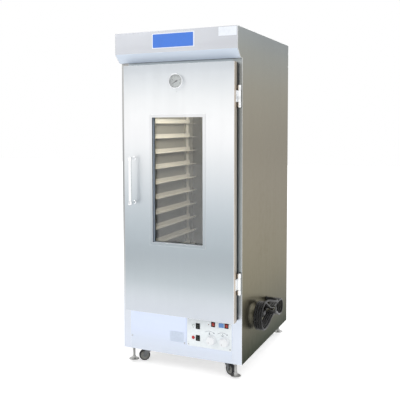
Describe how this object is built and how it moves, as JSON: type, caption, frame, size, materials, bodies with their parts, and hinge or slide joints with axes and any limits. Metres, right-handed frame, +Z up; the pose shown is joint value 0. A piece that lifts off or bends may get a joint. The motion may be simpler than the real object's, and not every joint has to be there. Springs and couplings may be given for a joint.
{
  "type": "dough proofer",
  "caption": "Stainless bakery proofing cabinet with a hinged glazed door, tray rails, water pan, rockers and knobs in the base, casters, levelling feet and a tied mains cable.",
  "frame": {"origin": "on the floor under the middle of the cabinet, cord left out", "axes": "+Z up, +Y to the back, the door faces -Y, +X to the hinge side"},
  "size_m": [0.6257, 0.802, 1.466],
  "materials": {
    "stainless": "satin stainless sheet",
    "white_plate": "white printed plate",
    "liner_steel": "satin stainless sheet, seen in the chamber",
    "rail_steel": "satin stainless angle",
    "chrome": "polished plating",
    "screw_steel": "bright screw heads",
    "wool": "mineral wool",
    "gasket_rubber": "black magnetic gasket",
    "cable_rubber": "black cable sheath",
    "tread_rubber": "black caster tread",
    "fork_steel": "dark plated fork",
    "foot_steel": "turned steel foot",
    "black_plastic": "black switch plastic",
    "red_plastic": "red translucent rocker",
    "lamp_plastic": "red and blue lamp lenses",
    "knob_plastic": "white knob",
    "dial_face": "printed dial",
    "needle_paint": "black needle",
    "clear_glass": "clear glass",
    "spacer_metal": "pane spacer",
    "heater_steel": "heater sheath",
    "case_plastic": "thermostat case"
  },
  "bodies": {
    "cabinet": {"left_side_panel": "stainless", "right_side_panel": "stainless", "top_panel": "stainless", "back_panel": "stainless", "hood_front": "stainless", "front_frame": "stainless", "base_chassis": "stainless", "base_front_panel": "stainless", "access_cover": "stainless", "control_plate": "white_plate", "chamber_liner": "liner_steel", "water_pan": "liner_steel", "rack_uprights": "rail_steel", "left_tray_rails": "rail_steel", "right_tray_rails": "rail_steel", "hinge_body_leaves": "chrome", "hinge_pins": "chrome", "panel_screws": "screw_steel", "insulation": "wool", "cord_gland": "cable_rubber", "cord_lead": "cable_rubber", "cord_hank": "cable_rubber", "cord_tie": "cable_rubber", "power_plug": "cable_rubber", "caster_tops": "fork_steel", "rocker_frames": "black_plastic", "indicator_lamps": "lamp_plastic", "thermostats": "case_plastic", "heating_elements": "heater_steel"},
    "door": {"door_skin": "stainless", "door_inner_panel": "stainless", "door_insulation": "wool", "door_gasket": "gasket_rubber", "window_trim": "stainless", "window_panes": "clear_glass", "pane_spacer": "spacer_metal", "door_handle": "chrome", "hinge_door_leaves": "chrome", "gauge_case": "chrome", "gauge_dial": "dial_face", "gauge_lens": "clear_glass"},
    "needle": {"gauge_pointer": "needle_paint"},
    "light_switch": {"light_rocker": "black_plastic"},
    "power_switch": {"power_rocker": "black_plastic"},
    "heat_switch": {"heat_rocker": "red_plastic"},
    "humidity_switch": {"humidity_rocker": "red_plastic"},
    "temperature_dial": {"temperature_knob": "knob_plastic"},
    "humidity_dial": {"humidity_knob": "knob_plastic"},
    "front_right_fork": {"front_right_caster_fork": "fork_steel"},
    "front_right_wheel": {"front_right_caster_wheel": "tread_rubber"},
    "front_right_foot": {"front_right_levelling_foot": "foot_steel"},
    "front_left_fork": {"front_left_caster_fork": "fork_steel"},
    "front_left_wheel": {"front_left_caster_wheel": "tread_rubber"},
    "front_left_foot": {"front_left_levelling_foot": "foot_steel"},
    "rear_right_fork": {"rear_right_caster_fork": "fork_steel"},
    "rear_right_wheel": {"rear_right_caster_wheel": "tread_rubber"},
    "rear_right_foot": {"rear_right_levelling_foot": "foot_steel"},
    "rear_left_fork": {"rear_left_caster_fork": "fork_steel"},
    "rear_left_wheel": {"rear_left_caster_wheel": "tread_rubber"},
    "rear_left_foot": {"rear_left_levelling_foot": "foot_steel"}
  },
  "joints": [
    {"name": "door_hinge", "type": "hinge", "parent": "cabinet", "child": "door", "pos_m": [0.2705, -0.313, 0.7925], "axis": [0, 0, 1], "range_deg": [0, 120]},
    {"name": "needle_turn", "type": "hinge", "parent": "door", "child": "needle", "pos_m": [0.0095, -0.3575, 1.255], "axis": [0, 1, 0], "range_deg": [0, 240], "stiffness_Nm_per_rad": 0.0005},
    {"name": "light_rocker_tip", "type": "hinge", "parent": "cabinet", "child": "light_switch", "pos_m": [0.0827, -0.301, 0.213], "axis": [-1, 0, 0], "range_deg": [0, 20]},
    {"name": "power_rocker_tip", "type": "hinge", "parent": "cabinet", "child": "power_switch", "pos_m": [0.0827, -0.301, 0.1613], "axis": [-1, 0, 0], "range_deg": [0, 20]},
    {"name": "heat_rocker_tip", "type": "hinge", "parent": "cabinet", "child": "heat_switch", "pos_m": [0.1525, -0.301, 0.2292], "axis": [-1, 0, 0], "range_deg": [0, 20]},
    {"name": "humidity_rocker_tip", "type": "hinge", "parent": "cabinet", "child": "humidity_switch", "pos_m": [0.213, -0.301, 0.2296], "axis": [-1, 0, 0], "range_deg": [0, 20]},
    {"name": "temperature_knob_turn", "type": "hinge", "parent": "cabinet", "child": "temperature_dial", "pos_m": [0.146, -0.3145, 0.162], "axis": [0, 1, 0], "range_deg": [0, 270]},
    {"name": "humidity_knob_turn", "type": "hinge", "parent": "cabinet", "child": "humidity_dial", "pos_m": [0.2055, -0.3145, 0.162], "axis": [0, 1, 0], "range_deg": [0, 270]},
    {"name": "front_right_swivel", "type": "hinge", "parent": "cabinet", "child": "front_right_fork", "pos_m": [0.188, -0.2285, 0.059], "axis": [0, 0, 1], "continuous": true},
    {"name": "front_right_roll", "type": "hinge", "parent": "front_right_fork", "child": "front_right_wheel", "pos_m": [0.20813, -0.24157, 0.025], "axis": [0.5446, 0.8387, 0], "continuous": true},
    {"name": "front_left_swivel", "type": "hinge", "parent": "cabinet", "child": "front_left_fork", "pos_m": [-0.188, -0.2285, 0.059], "axis": [0, 0, 1], "continuous": true},
    {"name": "front_left_roll", "type": "hinge", "parent": "front_left_fork", "child": "front_left_wheel", "pos_m": [-0.20813, -0.24157, 0.025], "axis": [0.5446, -0.8387, 0], "continuous": true},
    {"name": "rear_right_swivel", "type": "hinge", "parent": "cabinet", "child": "rear_right_fork", "pos_m": [0.188, 0.3235, 0.059], "axis": [0, 0, 1], "continuous": true},
    {"name": "rear_right_roll", "type": "hinge", "parent": "rear_right_fork", "child": "rear_right_wheel", "pos_m": [0.20813, 0.33657, 0.025], "axis": [-0.5446, 0.8387, 0], "continuous": true},
    {"name": "rear_left_swivel", "type": "hinge", "parent": "cabinet", "child": "rear_left_fork", "pos_m": [-0.188, 0.3235, 0.059], "axis": [0, 0, 1], "continuous": true},
    {"name": "rear_left_roll", "type": "hinge", "parent": "rear_left_fork", "child": "rear_left_wheel", "pos_m": [-0.20813, 0.33657, 0.025], "axis": [-0.5446, -0.8387, 0], "continuous": true},
    {"name": "front_right_foot_screw", "type": "slide", "parent": "cabinet", "child": "front_right_foot", "axis": [0, 0, -1], "range_m": [-0.006, 0.02]},
    {"name": "front_left_foot_screw", "type": "slide", "parent": "cabinet", "child": "front_left_foot", "axis": [0, 0, -1], "range_m": [-0.006, 0.02]},
    {"name": "rear_right_foot_screw", "type": "slide", "parent": "cabinet", "child": "rear_right_foot", "axis": [0, 0, -1], "range_m": [-0.006, 0.02]},
    {"name": "rear_left_foot_screw", "type": "slide", "parent": "cabinet", "child": "rear_left_foot", "axis": [0, 0, -1], "range_m": [-0.006, 0.02]}
  ]
}
